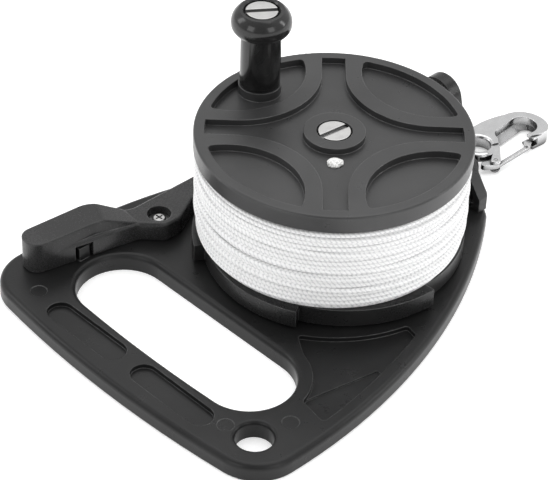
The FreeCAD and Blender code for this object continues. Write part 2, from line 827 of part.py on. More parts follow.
def crank_levels():
    """Heights of the boss top, knob bottom, knob top and screw seat on the crank."""
    boss = upper_flange_top - lens_depth + crank_boss_height
    bottom = boss + 0.3
    top = bottom + crank_stem_height + crank_head_height
    return boss, bottom, top, top - crank_cup_depth


def crank_knob():
    """Turned grip: straight stem, neck bead and a bulbous head with a cup for the screw."""
    boss, bottom, top, seat = crank_levels()
    neck = bottom + crank_stem_height
    belly = neck + crank_head_belly
    bead = (crank_head_radius + crank_neck_radius) / 2 + 0.9

    def at(radius, z):
        return (crank_x + radius, crank_y, z)

    edges = [line(at(crank_bore_radius, bottom), at(crank_stem_radius - 0.4, bottom)),
             line(at(crank_stem_radius - 0.4, bottom), at(crank_stem_radius, bottom + 0.4)),
             line(at(crank_stem_radius, bottom + 0.4), at(crank_stem_radius, neck - 0.6)),
             line(at(crank_stem_radius, neck - 0.6), at(crank_neck_radius, neck)),
             arc(at(crank_neck_radius, neck), at(bead, neck + crank_head_belly * 0.42),
                 at(crank_head_radius, belly)),
             arc(at(crank_head_radius, belly),
                 at(crank_head_radius - 0.75, belly + (top - belly) * 0.62), at(crank_top_radius, top)),
             line(at(crank_top_radius, top), at(crank_cup_radius + 0.5, top)),
             line(at(crank_cup_radius + 0.5, top), at(crank_cup_radius, top - 0.5)),
             line(at(crank_cup_radius, top - 0.5), at(crank_cup_radius, seat)),
             line(at(crank_cup_radius, seat), at(crank_bore_radius, seat)),
             line(at(crank_bore_radius, seat), at(crank_bore_radius, bottom))]
    face = Part.Face(Part.Wire(edges))
    return face.revolve(Vector(crank_x, crank_y, 0), Vector(0, 0, 1), 360)


def crank_sleeve():
    """Steel shoulder sleeve that the knob turns on."""
    boss, bottom, top, seat = crank_levels()
    return tube(crank_bore_radius - axle_play, crank_screw_thread_radius + fit_gap, boss, seat + 0.1,
                crank_x, crank_y)


def crank_screw():
    boss, bottom, top, seat = crank_levels()
    head_bottom = seat + 0.1
    head_top = top - crank_head_seat
    head = slotted_head(crank_screw_head_radius, head_bottom, head_top, crank_x, crank_y,
                        crank_slot_turn_deg)
    return head.fuse(cylinder(crank_screw_thread_radius, upper_flange_bottom + 0.5, head_bottom + 0.5,
                              crank_x, crank_y))


def crank_insert():
    boss, bottom, top, seat = crank_levels()
    inner = crank_screw_thread_radius + fit_gap
    return tube(inner + crank_insert_wall, inner, upper_flange_bottom, boss, crank_x, crank_y)


def line_core():
    """The wound line under its outer layer."""
    return tube(winding_radius, drum_radius + fit_gap, lower_flange_top + fit_gap,
                upper_flange_bottom - fit_gap)


def biarc(p0, t0, p1, t1):
    """Two arcs that leave p0 along t0 and reach p1 along t1."""
    v = p1 - p0
    t = t0 + t1
    a = 2 * (1 - t0.dot(t1))
    b = v.dot(t)
    d = (-b + math.sqrt(b * b + a * v.dot(v))) / a
    q0 = p0 + t0 * d
    q1 = p1 - t1 * d
    join = (q0 + q1) * 0.5
    edges = []
    for start, knee, end in ((p0, q0, join), (join, q1, p1)):
        first = (knee - start).normalize()
        second = (end - knee).normalize()
        weight = math.sqrt((1 + first.dot(second)) / 2)
        crown = (start + knee * (2 * weight) + end) * (1 / (2 + 2 * weight))
        edges.append(Part.Arc(start, crown, end).toShape())
    return edges


def line_winding():
    """Outer layer of line as one unbroken tube, wound from the lower flange to the upper one."""
    low = lower_flange_top + line_edge_gap + line_radius
    high = upper_flange_bottom - line_edge_gap - line_radius
    halves = line_loops * 2
    rise = (high - low) / (halves + 1)
    slope = rise / (math.pi * turn_radius)

    def at(i):
        turn = math.pi * i
        return Vector(turn_radius * math.cos(turn), turn_radius * math.sin(turn), low + rise * (i + 0.5))

    def along(i):
        turn = math.pi * i
        return Vector(-math.sin(turn), math.cos(turn), slope).normalize()

    edges = []
    for i in range(halves):
        edges += biarc(at(i), along(i), at(i + 1), along(i + 1))
    path = Part.Wire(edges)
    section = Part.Wire(Part.Circle(at(0), along(0), line_radius).toShape())
    print("winding: least gap between turns %.2f mm" % least_gap(path, rise * 2))
    return path.makePipeShell([section], True, False)


def least_gap(path, pitch):
    """Least distance between turns of the path, less the line's diameter, on sampled points."""
    points = path.discretize(Number=line_loops * 24)
    per_turn = len(points) / line_loops
    least = 1e9
    for i, p in enumerate(points):
        for j in range(i + int(per_turn * 0.6), min(len(points), i + int(per_turn * 1.4) + 1)):
            least = min(least, (p - points[j]).Length)
    return least - line_diameter


def line_end_knot():
    """Melted end of the line, held in its hole in the upper flange."""
    z = upper_flange_top - star_depth - 0.6
    knot = Part.makeSphere(1.0)
    squash = FreeCAD.Matrix()
    squash.scale(knot_radius, knot_radius, knot_height / 2)
    knot = knot.transformGeometry(squash)
    knot.translate(Vector(knot_hole_x, knot_hole_y, z))
    return knot


def lever_front_corners():
    """The lever's free end and back, shared by the arm and the thumb block on it."""
    px = lever_pivot_x
    py = lever_pivot_y
    end_x = px - lever_end_reach
    return [(end_x, py + lever_front_end_y, lever_end_round),
            (end_x + lever_end_depth * math.sin(math.radians(6)), py + lever_front_end_y + lever_end_depth,
             lever_end_round),
            (px + lever_back_x, py + lever_back_y, lever_end_round * 2)]


def thumb_block():
    """Raised block with a hollow front, a flat top and a ramp down to the arm."""
    px = lever_pivot_x
    py = lever_pivot_y
    crease = px + block_crease_x
    front_x = px - lever_end_reach + block_front_from_end
    plan = rounded(lever_front_corners()
                   + [(px + block_ramp_end_x, py + lever_arm_back_y, 2.0),
                      (px + block_ramp_end_x, lever_front_y(px + block_ramp_end_x) + 0.4, 0.5),
                      (crease - 1.0, lever_front_y(crease) + block_set_back, block_bend),
                      (front_x, lever_front_y(front_x), block_bend * 2)])
    top = lever_top + lever_block_rise
    block = prism(plan, lever_bottom + 1, top + 3)
    ramp = rounded([(px - 2 * lever_end_reach, top - lever_block_fall, 0.5),
                    (crease, top, block_bend),
                    (px + block_ramp_end_x, lever_top - 0.3, block_bend),
                    (px + lever_end_reach, lever_top - 0.3, 0.5),
                    (px + lever_end_reach, top + lever_end_reach, 0.5),
                    (px - 2 * lever_end_reach, top + lever_end_reach, 0.5)])
    ramp.rotate(Vector(0, 0, 0), Vector(1, 0, 0), 90)
    ramp.translate(Vector(-block_skew * lever_end_reach, py - lever_end_reach, 0))
    across = Vector(2 * block_skew * lever_end_reach, 2 * lever_end_reach, 0)
    block = block.cut(Part.Face(ramp).extrude(across))
    rims = [e for e in block.Edges if e.BoundBox.ZMin > lever_top + 0.5 and e.BoundBox.XMax < crease
            and e.BoundBox.ZLength < lever_block_rise / 2]
    return block.makeFillet(block_edge_round, rims)


def thumb_lever():
    """Flat arm with a raised thumb block behind the pivot and a pawl in front of it."""
    px = lever_pivot_x
    py = lever_pivot_y
    nose_low = tooth_tip_radius + pawl_clearance
    tip_x = px + pawl_reach
    neck_x = tip_x - pawl_neck
    plan = rounded(lever_front_corners()
                   + [(px + lever_arm_back_x, py + lever_arm_back_y, 8.0),
                      (tip_x - pawl_neck * 1.5, py + lever_arm_back_y - 0.4, 6.0),
                      (tip_x, nose_low + pawl_nose_width, 0.8),
                      (tip_x, nose_low, 0.6),
                      (neck_x, math.sqrt(nose_low ** 2 - neck_x ** 2) + 0.3, 3.0),
                      (px + lever_arm_front_x, py + lever_arm_front_y, 10.0),
                      (px + lever_boss_half + 1.2, py - lever_boss_depth, 4.0),
                      (px - lever_boss_half + 1.4, py - lever_boss_depth, 3.5),
                      (px + lever_front_boss_x, py + lever_front_boss_y, 4.0)])
    arm = prism(plan, lever_bottom, lever_top)
    arm = arm.makeFillet(lever_edge_round, edges_at(arm, lever_top))
    lever = arm.fuse(thumb_block())
    lever = lever.cut(cylinder(lever_post_radius + axle_play, 0, lever_top + 2, px, py))
    lever = lever.cut(cylinder(lever_cup_radius, lever_post_top - fit_gap, lever_top + 2, px, py))
    # Notch in the front wall that houses the spring
    half = spring_coil_radius + spring_side_gap
    notch = box(spring_x - half, spring_x + half, py - lever_end_reach, spring_seat_y(),
                lever_bottom - 1, plate_top + spring_lug_height + spring_roof_gap)
    return lever.cut(notch)


def spring_seat_y():
    return spring_lug_back_y() + spring_length


def lever_spring():
    """Coil spring between the lug and the lever's notch, as one unbroken wire."""
    y0 = spring_lug_back_y() + 0.05 + spring_wire / 2
    y1 = spring_seat_y() - 0.05 - spring_wire / 2
    z = plate_top + spring_height
    halves = spring_turns * 2
    rise = (y1 - y0) / halves
    slope = rise / (math.pi * spring_coil_radius)

    def at(i):
        turn = math.pi * i
        return Vector(spring_x + spring_coil_radius * math.cos(turn), y0 + rise * i,
                      z - spring_coil_radius * math.sin(turn))

    def along(i):
        turn = math.pi * i
        return Vector(-math.sin(turn), slope, -math.cos(turn)).normalize()

    edges = []
    for i in range(halves):
        edges += biarc(at(i), along(i), at(i + 1), along(i + 1))
    path = Part.Wire(edges)
    section = Part.Wire(Part.Circle(at(0), along(0), spring_wire / 2).toShape())
    return path.makePipeShell([section], True, False)


def lever_washer():
    return tube(lever_cup_radius - 3 * axle_play, lever_screw_radius + fit_gap, lever_post_top,
                lever_post_top + lever_washer_thickness, lever_pivot_x, lever_pivot_y)


def lever_screw():
    low = lever_post_top + lever_washer_thickness
    top = low + lever_screw_head_height
    x = lever_pivot_x
    y = lever_pivot_y
    head = cylinder(lever_screw_head_radius, low, top, x, y)
    head = head.makeFillet(lever_screw_head_height / 2, edges_at(head, top))
    socket = box(x - cross_half_length, x + cross_half_length, y - cross_half_width, y + cross_half_width,
                 top - cross_depth, top + 1)
    cross = box(x - cross_half_width, x + cross_half_width, y - cross_half_length, y + cross_half_length,
                top - cross_depth, top + 1)
    shank = cylinder(lever_screw_radius, low + 0.5 - lever_screw_length, low + 0.5, x, y)
    return head.cut(socket).cut(cross).fuse(shank)


def between(c1, r1, c2, r2):
    """Ends of the straight run that touches two circles and passes between them."""
    lean = math.degrees(math.atan2(c2[1] - c1[1], c2[0] - c1[0]))
    lean -= math.degrees(math.acos((r1 + r2) / math.dist(c1, c2)))
    return polar(r1, lean, *c1), polar(-r2, lean, *c2)


def beside(c1, r1, c2, r2):
    """Ends of the straight run along the left side of two circles, going from the first to the second."""
    lean = math.degrees(math.atan2(c2[1] - c1[1], c2[0] - c1[0]))
    lean += math.degrees(math.acos((r1 - r2) / math.dist(c1, c2)))
    return polar(r1, lean, *c1), polar(r2, lean, *c2)


def belt(c1, r1, c2, r2):
    """Closed outline round two circles, like a belt round two wheels."""
    a, b = beside(c1, r1, c2, r2)
    c, d = beside(c2, r2, c1, r1)
    lean = math.degrees(math.atan2(c2[1] - c1[1], c2[0] - c1[0]))
    return outline(a, b, (polar(r2, lean, *c2), c), d, (polar(-r1, lean, *c1), a))


def snap_circles():
    """Centres and radii of the throat at the top, and of the ledge's opening at the bottom."""
    throat = ((eye_x + throat_from_eye, throat_y), throat_radius)
    throat_end = ((eye_x + throat_end_from_eye, throat_end_y), throat_end_radius)
    ledge = ((eye_x + ledge_from_eye, ledge_y), ledge_radius)
    ledge_end = ((eye_x + ledge_end_from_eye, ledge_end_y), ledge_end_radius)
    return throat, throat_end, ledge, ledge_end


def snap_outline():
    """Cast hook seen from above: full back, round far end and a nose that faces the gate."""
    eye = (eye_x, eye_y)
    back_start = polar(eye_radius - 0.3, 97, *eye)
    far = (eye_x + far_from_eye, far_y)
    back_end = polar(far_radius, 84, *far)
    back_middle = ((back_start[0] + back_end[0]) / 2, (back_start[1] + back_end[1]) / 2 + back_swell)
    far_turn = polar(far_radius, far_turn_deg, *far)
    low = polar(far_radius - far_low_radius, far_turn_deg, *far)
    nose_low = polar(far_low_radius, -95, *low)
    nose_x = gate_pivot_x + gate_length - 1.0
    throat, throat_end, ledge, ledge_end = snap_circles()
    fork = (gate_pivot_x, gate_pivot_y)
    far_edge, end_edge = beside(*ledge_end, *ledge)
    end_low, fork_right = between(*ledge_end, fork, fork_radius)
    ledge_low = polar(ledge_radius, -90, *ledge[0])
    return outline(back_start,
                   (back_middle, back_end),
                   (polar(far_radius, 30, *far), far_turn),
                   (polar(far_low_radius, -60, *low), nose_low),
                   (nose_x, nose_low[1] + (nose_low[0] - nose_x) * math.tan(math.radians(5))),
                   (nose_x, ledge_low[1]),
                   ledge_low,
                   (polar(ledge_radius, 0, *ledge[0]), end_edge),
                   far_edge,
                   (polar(ledge_end_radius, 120, *ledge_end[0]), end_low),
                   fork_right,
                   (polar(fork_radius, -80, *fork), polar(fork_radius, fork_left_deg, *fork)),
                   (eye_x + 0.4, eye_y - eye_radius + 0.9),
                   (eye_x + 1.5, eye_y))


def eye_band(bottom, outer_round, sweep_deg):
    """Part of the eye's ring, turned from its section."""
    section = rounded([(eye_x + eye_hole_radius, bottom, snap_edge_round),
                       (eye_x + eye_radius, bottom, outer_round),
                       (eye_x + eye_radius, snap_top, outer_round),
                       (eye_x + eye_hole_radius, snap_top, snap_edge_round)])
    section.rotate(Vector(0, 0, 0), Vector(1, 0, 0), 90)
    section.translate(Vector(0, eye_y, 0))
    return Part.Face(section).revolve(Vector(eye_x, eye_y, 0), Vector(0, 0, 1), sweep_deg)


def snap_eye():
    """Ring of the eye: full height where it joins the body, clear of the ground where the line is tied."""
    ring = eye_band(eye_underside, snap_edge_round, 360)
    collar = eye_band(snap_floor_gap, snap_edge_round, collar_sweep_deg)
    return ring.fuse(turned(collar, collar_from_deg, eye_x, eye_y))


def gate_middle():
    return (snap_floor_gap + snap_top) / 2


def throat_flare():
    """Room above the throat's ledge: straight walls with a slope down to the ledge's edge."""
    throat, throat_end, ledge, ledge_end = snap_circles()
    edge_z = snap_floor_gap + ledge_edge_height
    wall_z = snap_floor_gap + ledge_wall_height
    low = belt(*ledge_end, *ledge)
    low.translate(Vector(0, 0, edge_z))
    high = belt(*throat_end, *throat)
    high.translate(Vector(0, 0, wall_z))
    slope = Part.makeLoft([low, high], True, True)
    return slope.fuse(prism(belt(*throat_end, *throat), wall_z, snap_top + 1))


def snap_body():
    body = prism(snap_outline(), snap_floor_gap, snap_top)
    throat, throat_end, ledge, ledge_end = snap_circles()
    for z in (snap_top, snap_floor_gap):
        rims = [e for e in edges_at(body, z) if e.BoundBox.XLength > 0.1
                and math.dist((e.CenterOfMass.x, e.CenterOfMass.y), (eye_x, eye_y)) > eye_radius
                and math.dist((e.CenterOfMass.x, e.CenterOfMass.y), ledge[0]) > throat_from_eye]
        body = body.makeFillet(snap_edge_round, rims)
    band_middle = (eye_hole_radius + eye_radius) / 2
    body = body.cut(cylinder(band_middle, -1, snap_top + 1, eye_x, eye_y)).fuse(snap_eye())
    body = body.cut(throat_flare())
    # The gate turns in a slot through the lower corner, and the nose is hollowed to its swing
    x = gate_pivot_x
    y = gate_pivot_y
    low = gate_middle() - gate_height / 2 - gate_gap
    high = gate_middle() + gate_height / 2 + gate_gap
    bar_top = y + gate_width / 2 + gate_gap
    under = box(x - gate_length, x + gate_length, y - gate_length, bar_top, low, high)
    open_side = turned(box(x, x + gate_length, y - gate_length, bar_top, low, high),
                       gate_turn_deg + gate_open_deg, x, y)
    tab_side = box(x - gate_length, x, y - gate_length, y + gate_boss_radius + gate_gap, low, high)
    tab_side = turned(tab_side, tab_turn_deg - 180, x, y)
    slot = cylinder(gate_boss_radius + gate_gap, low, high, x, y).fuse(under).fuse(open_side).fuse(tab_side)
    swing = cylinder(gate_length + gate_gap, -1, snap_top + 1, x, y)
    nose = box(x + gate_length / 2, x + gate_length * 2, y - gate_length, ledge_y, -1, snap_top + 1)
    body = body.cut(slot).cut(swing.common(nose))
    # Fork and nose stand a little lower than the rest
    step_z = snap_top - fork_step
    fork = box(x - gate_length, eye_x + throat_end_from_eye, y - gate_length, eye_y + fork_step_y, step_z,
               snap_top + 1)
    tip = box(-gate_length, gate_length / 4, -gate_length, 0, step_z, snap_top + 1)
    tip = turned(tip, nose_step_lean_deg, 0, 0)
    tip.translate(Vector(eye_x + nose_step_x, eye_y + nose_step_y, 0))
    body = body.cut(fork.fuse(tip))
    return body.cut(cylinder(gate_pin_radius + fit_gap, -1, snap_top + 1, x, y))


def turned(shape, degrees, x, y):
    """Shape turned about an upright axis."""
    shape.rotate(Vector(x, y, 0), Vector(0, 0, 1), degrees)
    return shape


def snap_gate():
    """Gate bar with a broad tip, its pivot boss and a thumb tab behind the pivot."""
    x = gate_pivot_x
    y = gate_pivot_y
    z0 = gate_middle() - gate_height / 2
    z1 = gate_middle() + gate_height / 2
    half = gate_width / 2
    bar_y = y - gate_bar_offset
    tip = (x + gate_length - gate_tip_radius, y + gate_tip_rise)
    knee = (tip[0] - gate_tip_radius, bar_y)
    bar = prism(belt((x, bar_y), half, knee, half), z0, z0 + gate_bar_height)
    bar = bar.fuse(prism(belt(knee, half, tip, gate_tip_radius), z0, z1))
    tab = prism(belt((x, y), gate_boss_radius, (x + tab_length - tab_width / 2, y), tab_width / 2), z0, z1)
    gate = turned(bar, gate_turn_deg, x, y).fuse(turned(tab, tab_turn_deg, x, y))
    return gate.cut(cylinder(gate_pin_radius + axle_play, -1, snap_top + 1, x, y))


def gate_pin():
    return cylinder(gate_pin_radius, snap_floor_gap + 0.3, snap_top - fork_step - 0.1,
                    gate_pivot_x, gate_pivot_y)


def cord(points, bend):
    """Round line along straight runs joined by tangent arcs."""
    corners = [Vector(*p) for p in points]
    edges = []
    here = corners[0]
    for i in range(1, len(corners) - 1):
        back = (corners[i - 1] - corners[i]).normalize()
        ahead = (corners[i + 1] - corners[i]).normalize()
        half = math.acos(max(-1.0, min(1.0, back.dot(ahead)))) / 2
        trim = bend / math.tan(half)
        centre = corners[i] + (back + ahead).normalize() * (bend / math.sin(half))
        first = corners[i] + back * trim
        last = corners[i] + ahead * trim
        middle = centre + (corners[i] - centre).normalize() * bend
        edges.append(Part.LineSegment(here, first).toShape())
        edges.append(Part.Arc(first, middle, last).toShape())
        here = last
    edges.append(Part.LineSegment(here, corners[-1]).toShape())
    path = Part.Wire(edges)
    start = (corners[1] - corners[0]).normalize()
    section = Part.Wire(Part.Circle(corners[0], start, line_radius).toShape())
    print("line bends at radius %.1f mm, length %.1f mm" % (bend, path.Length))
    return path.makePipeShell([section], True, False)


def run_corner_x():
    """Where the line turns into the guide's hole, so that its bend ends inside the hole."""
    return guide_back_x - run_corner_back


def line_run():
    """Line from the winding to the guide, which leaves the winding along its tangent."""
    leave = turn_radius + line_diameter + line_winding_gap
    corner = run_corner_x()
    turn = -math.acos(leave / corner)
    start = (leave * math.cos(turn), leave * math.sin(turn), guide_hole_z)
    end = (guide_back_x + guide_wall / 2 - tie_gap, 0, guide_hole_z)
    return cord([start, (corner, 0, guide_hole_z), end], line_bend_radius)


def leader_hinge_x():
    return guide_back_x + guide_wall / 2 + line_radius


def tie_place():
    """Middle of the eye's band, where the line is tied round it."""
    x, y = polar((eye_hole_radius + eye_radius) / 2, tie_turn_deg, eye_x, eye_y)
    return (x, y, (eye_underside + snap_top) / 2)


def line_leader():
    """End of the line from the guide down to its knot and loop round the eye of the snap."""
    x0 = leader_hinge_x()
    tx, ty, tz = tie_place()
    loop_radius = (snap_top - eye_underside) / 2 + tie_gap + line_radius
    knot_z = tz + loop_radius + leader_knot_radius * 0.6
    leader = cord([(x0, 0, guide_hole_z), (x0 + leader_sag_x, leader_sag_y, guide_hole_z),
                   (tx - leader_drop_x, ty - leader_drop_y, knot_z + leader_drop_z),
                   (tx, ty, knot_z)], line_bend_radius * 0.6)
    leader = leader.fuse(Part.makeSphere(line_radius, Vector(x0, 0, guide_hole_z)))
    leader = leader.fuse(Part.makeSphere(leader_knot_radius, Vector(tx, ty, knot_z)))
    side = math.radians(tie_turn_deg + 90)
    loop = Part.makeTorus(loop_radius, line_radius, Vector(tx, ty, tz),
                          Vector(math.cos(side), math.sin(side), 0))
    return leader.fuse(loop)


PARTS = {
    "frame_plate": frame_plate, "line_guide": line_guide, "guide_screws": guide_screws,
    "thrust_washer": thrust_washer, "axle_insert": axle_insert, "axle_washer": axle_washer,
    "axle_bolt": axle_bolt, "spool_drum": spool_drum, "spool_flange": spool_flange,
    "case_screws": case_screws, "lower_bush": lower_bush, "upper_bush": upper_bush,
    "line_core": line_core, "line_winding": line_winding, "line_end_knot": line_end_knot,
    "crank_knob": crank_knob, "crank_sleeve": crank_sleeve, "crank_screw": crank_screw,
    "crank_insert": crank_insert, "thumb_lever": thumb_lever, "lever_washer": lever_washer,
    "lever_screw": lever_screw, "lever_spring": lever_spring, "snap_body": snap_body,
    "snap_gate": snap_gate, "gate_pin": gate_pin, "line_run": line_run, "line_leader": line_leader,
}

os.makedirs("parts", exist_ok=True)
for name, make in PARTS.items():
    save(name, make())
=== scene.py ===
import math

import bmesh
import bpy
import numpy as np
from mathutils import Matrix, Vector, noise


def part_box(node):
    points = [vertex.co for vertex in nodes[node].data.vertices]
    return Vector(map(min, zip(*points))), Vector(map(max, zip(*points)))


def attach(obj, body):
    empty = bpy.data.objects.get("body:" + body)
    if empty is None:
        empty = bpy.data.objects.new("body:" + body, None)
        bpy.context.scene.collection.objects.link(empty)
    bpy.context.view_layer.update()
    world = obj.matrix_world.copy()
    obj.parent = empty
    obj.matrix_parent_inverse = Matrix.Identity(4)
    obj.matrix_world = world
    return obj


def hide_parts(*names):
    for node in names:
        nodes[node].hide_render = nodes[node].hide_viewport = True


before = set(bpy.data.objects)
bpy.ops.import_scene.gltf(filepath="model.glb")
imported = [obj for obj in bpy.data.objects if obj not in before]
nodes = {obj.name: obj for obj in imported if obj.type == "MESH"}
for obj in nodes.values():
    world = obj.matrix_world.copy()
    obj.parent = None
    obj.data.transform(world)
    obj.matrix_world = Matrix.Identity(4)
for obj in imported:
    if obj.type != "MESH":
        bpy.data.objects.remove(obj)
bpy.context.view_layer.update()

# The camera stands beyond the handle bar, on the side away from the lever and above the reel, with a
# long lens, and looks over the spool towards the nose. It is rolled a little, as in the photograph.
camera_place = Vector((-0.4580, -0.4214, 0.5052))
camera_turn = math.radians(45.71)
camera_dip = math.radians(38.68)
camera_roll = math.radians(2.3)
focal_length_mm = 141.75
sensor_width_mm = 36.0
shift_right = -0.0067
shift_up = 0.0009

ahead = Vector((math.sin(camera_turn) * math.cos(camera_dip),
                math.cos(camera_turn) * math.cos(camera_dip), -math.sin(camera_dip)))
level = Vector((math.cos(camera_turn), -math.sin(camera_turn), 0))
upward = level.cross(ahead)
right = level * math.cos(camera_roll) + upward * math.sin(camera_roll)
up = upward * math.cos(camera_roll) - level * math.sin(camera_roll)

lens = bpy.data.cameras.new("camera")
lens.lens = focal_length_mm
lens.sensor_width = sensor_width_mm
lens.shift_x = shift_right
lens.shift_y = shift_up
lens.clip_start = 0.05
camera = bpy.data.objects.new("camera", lens)
camera.matrix_world = Matrix.Translation(camera_place) @ Matrix((right, up, -ahead)).transposed().to_4x4()
bpy.context.scene.collection.objects.link(camera)
bpy.context.scene.camera = camera


# The floor is a sheet of white acrylic lit from below, as on a product table. It stands in a white
# tent that is brighter behind the reel than behind the camera, and reaches far past the picture.
floor_width = 6.0
floor_glow = 0.42
tent_bright = 0.85
tent_dim = 0.50
tent_lift = 0.35
dim_until = -0.55
bright_from = 0.6
clouds_per_sheet = 3.0
acrylic_dark = (0.86, 0.86, 0.86)
acrylic_light = (0.90, 0.90, 0.90)


def piece_from(name, shape):
    """The object of a finished bmesh, at the origin."""
    mesh = bpy.data.meshes.new(name)
    shape.to_mesh(mesh)
    shape.free()
    made = bpy.data.objects.new(name, mesh)
    bpy.context.scene.collection.objects.link(made)
    return made


sheet = bmesh.new()
bmesh.ops.create_grid(sheet, x_segments=1, y_segments=1, size=floor_width / 2)
floor = piece_from("floor", sheet)


class Paint:
    """A socket in a node tree. Arithmetic on it adds the Math nodes that work it out."""

    def __init__(self, tree, socket=None):
        self.tree = tree
        self.socket = socket

    def node(self, kind, settings, inputs, output=0):
        """Another node of this tree: its settings are set first, then its sockets' values and links."""
        made = self.tree.nodes.new(kind)
        for name, value in settings.items():
            setattr(made, name, value)
        for name, value in inputs.items():
            if isinstance(value, Paint):
                self.tree.links.new(value.socket, made.inputs[name])
            else:
                made.inputs[name].default_value = value
        return Paint(self.tree, made.outputs[output]) if made.outputs else made

    def math(self, operation, *values):
        return self.node("ShaderNodeMath", {"operation": operation}, dict(enumerate(values)))

    def coordinates(self, kind="Object"):
        """The places that a pattern is laid out by."""
        return self.node("ShaderNodeTexCoord", {}, {}, kind)

    def __add__(self, other):
        return self.math("ADD", self, other)

    def __radd__(self, other):
        return self.math("ADD", other, self)

    def __sub__(self, other):
        return self.math("SUBTRACT", self, other)

    def __rsub__(self, other):
        return self.math("SUBTRACT", other, self)

    def __mul__(self, other):
        return self.math("MULTIPLY", self, other)

    def __rmul__(self, other):
        return self.math("MULTIPLY", other, self)

    def between(self, low, high):
        """0 below low, 1 above high, and smooth between them."""
        return self.node("ShaderNodeMapRange", {"interpolation_type": "SMOOTHSTEP"},
                         {"Value": self, "From Min": low, "From Max": high})

    def blend(self, first, second):
        """Colour between two colours, with this value as the share of the second."""
        first, second = (shade if isinstance(shade, Paint) else (*shade, 1.0) for shade in (first, second))
        return self.node("ShaderNodeMix", {"data_type": "RGBA"}, {0: self, 6: first, 7: second}, 2)

    def speckle(self, place, per_metre, detail, **sockets):
        """Noise with so many spots to a metre, at the places given."""
        return self.node("ShaderNodeTexNoise", {},
                         {"Vector": place, "Scale": per_metre, "Detail": detail, **sockets})

    def rounded(self, radius):
        """Normals that turn smoothly over each sharp edge."""
        return self.node("ShaderNodeBevel", {"samples": 6}, {"Radius": radius})

    def bump(self, strength, depth, **sockets):
        """Normals of a skin that this value raises."""
        return self.node("ShaderNodeBump", {},
                         {"Height": self, "Strength": strength, "Distance": depth, **sockets})


def new_material(name):
    """A material with an empty tree, and the paint that builds it."""
    made = bpy.data.materials.new(name)
    made.use_nodes = True
    made.node_tree.nodes.clear()
    return made, Paint(made.node_tree)


def finish_material(paint, **sockets):
    """Close the tree with one shader whose sockets take the values or links given."""
    names = {name.replace("_", " "): value for name, value in sockets.items()}
    shader = paint.node("ShaderNodeBsdfPrincipled", {}, names)
    paint.node("ShaderNodeOutputMaterial", {}, {"Surface": shader})


acrylic, paint = new_material("white_acrylic")
cloudy = paint.node("ShaderNodeTexNoise", {}, {"Scale": clouds_per_sheet, "Detail": 2.0})
finish_material(paint, Base_Color=cloudy.blend(acrylic_dark, acrylic_light), Roughness=0.8,
                Emission_Color=(1, 1, 1, 1), Emission_Strength=floor_glow)
floor.data.materials.append(acrylic)

world = bpy.data.worlds.new("tent")
bpy.context.scene.world = world
world.use_nodes = True
world.node_tree.nodes.clear()
tent = Paint(world.node_tree)
towards = tent.coordinates("Generated")
away = tent.node("ShaderNodeVectorMath", {"operation": "DOT_PRODUCT"},
                 {0: towards, 1: (ahead.x, ahead.y, tent_lift)}, "Value")
glow = away.between(dim_until, bright_from) * (tent_bright - tent_dim) + tent_dim
backdrop = tent.node("ShaderNodeBackground", {}, {"Color": (1, 1, 1, 1), "Strength": glow})
tent.node("ShaderNodeOutputWorld", {}, {"Surface": backdrop})
bpy.context.scene.view_settings.view_transform = "Standard"


# Five soft boxes light the tent: a large one overhead, one at each side, and two beside the camera
# that show as pale patches on the knob.
spool_foot = (0, 0, 0.03)
spool_top = (0, 0, 0.06)


def soft_box(name, place, aim, width, height, watts):
    """A flat lamp that faces a point."""
    light = bpy.data.lights.new(name, "AREA")
    light.shape = "RECTANGLE"
    light.size = width
    light.size_y = height
    light.energy = watts
    holder = bpy.data.objects.new(name, light)
    facing = (Vector(aim) - Vector(place)).to_track_quat("-Z", "Y").to_matrix().to_4x4()
    holder.matrix_world = Matrix.Translation(Vector(place)) @ facing
    bpy.context.scene.collection.objects.link(holder)


soft_box("overhead_box", (0.25, 0.15, 1.1), spool_foot, width=1.2, height=1.2, watts=5.5)
soft_box("right_box", (0.75, -0.65, 0.45), spool_foot, width=0.14, height=0.6, watts=1.5)
soft_box("left_box", (-0.55, 0.75, 0.55), spool_foot, width=0.30, height=0.6, watts=1.4)
soft_box("front_right_box", (-0.12, -0.89, 0.42), spool_top, width=0.40, height=0.50, watts=1.2)
soft_box("front_left_box", (-0.90, -0.04, 0.42), spool_top, width=0.40, height=0.50, watts=1.2)


# The frame is one thick plate of black glass-filled nylon, injection moulded. Its faces carry the
# pebbled skin of the mould, the flow of the melt shows faintly, and its corners are glossier and carry a
# painted highlight.
pebbles_per_metre = 1900.0
flow_per_metre = 28.0
rubs_per_metre = 130.0
scratch_grain = (2200.0, 130.0, 600.0)
scratch_turn = (0.0, 0.0, 0.6)
# The corners carry a painted highlight: this share of the lighter highlight colour.
edge_highlight_share = 0.5
edge_highlight_colour = (0.24, 0.24, 0.24)
plate_shade = (0.0125, 0.0125, 0.0127)


def dress(names, material):
    """Give CAD nodes one material."""
    for name in names:
        slots = nodes[name].data.materials
        slots.clear()
        slots.append(material)


def shaded(shade, share):
    """A colour made darker or lighter."""
    return tuple(share * channel for channel in shade)


